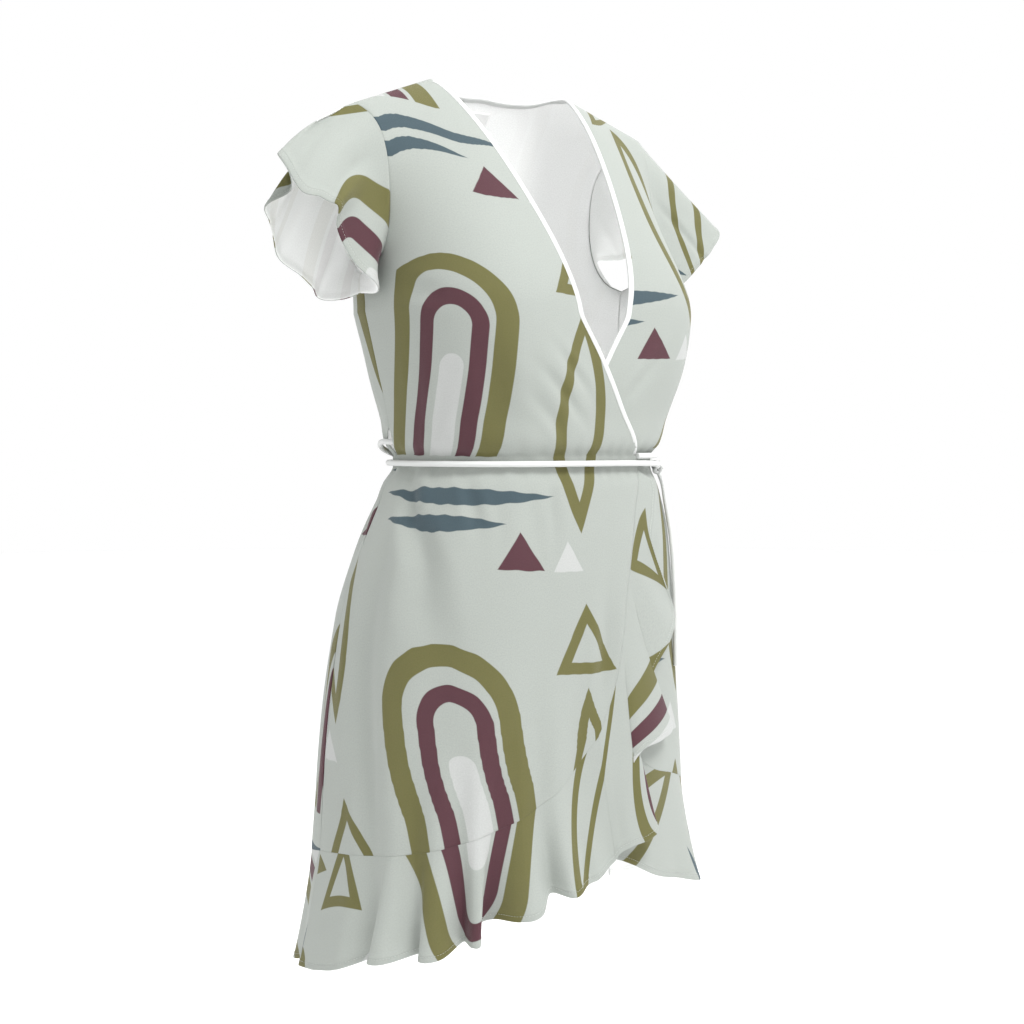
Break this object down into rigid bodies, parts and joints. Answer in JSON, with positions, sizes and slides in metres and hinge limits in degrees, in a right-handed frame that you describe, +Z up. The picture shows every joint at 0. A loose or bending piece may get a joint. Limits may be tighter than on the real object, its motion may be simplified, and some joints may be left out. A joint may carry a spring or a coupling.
{
  "type": "tea dress",
  "caption": "Short wrap tea dress in its worn form with no wearer: flutter sleeves, bound V neck, waist ties knotted at the left side and a flounce that cascades down the front and runs round the hem.",
  "frame": {"origin": "midway between the two points where the shoulder seams meet the neck, where the dress is held up", "axes": "+Z up, -Y to the front of the dress, +X to the wearer's left"},
  "size_m": [0.5603, 0.3854, 0.909],
  "materials": {
    "front_right": "woven, printed",
    "front_left": "woven, printed",
    "back": "woven, printed",
    "neck_binding": "woven, plain",
    "flounce_front_right": "woven, printed",
    "flounce_front_left": "woven, printed",
    "flounce_back": "woven, printed",
    "sleeve_right": "woven, printed",
    "sleeve_left": "woven, printed",
    "tie_right_front": "woven, plain",
    "tie_left_front": "woven, plain",
    "tie_knot": "woven, plain",
    "tie_end_front": "woven, plain",
    "tie_end_back": "woven, plain",
    "neck_label": "woven, plain"
  },
  "bodies": {
    "root": {"front_right": "front_right", "front_left": "front_left", "back": "back", "neck_binding": "neck_binding", "flounce_front_right": "flounce_front_right", "flounce_front_left": "flounce_front_left", "flounce_back": "flounce_back", "sleeve_right": "sleeve_right", "sleeve_left": "sleeve_left", "tie_right_front": "tie_right_front", "tie_left_front": "tie_left_front", "tie_knot": "tie_knot", "tie_end_front": "tie_end_front", "tie_end_back": "tie_end_back", "neck_label": "neck_label"}
  },
  "joints": []
}
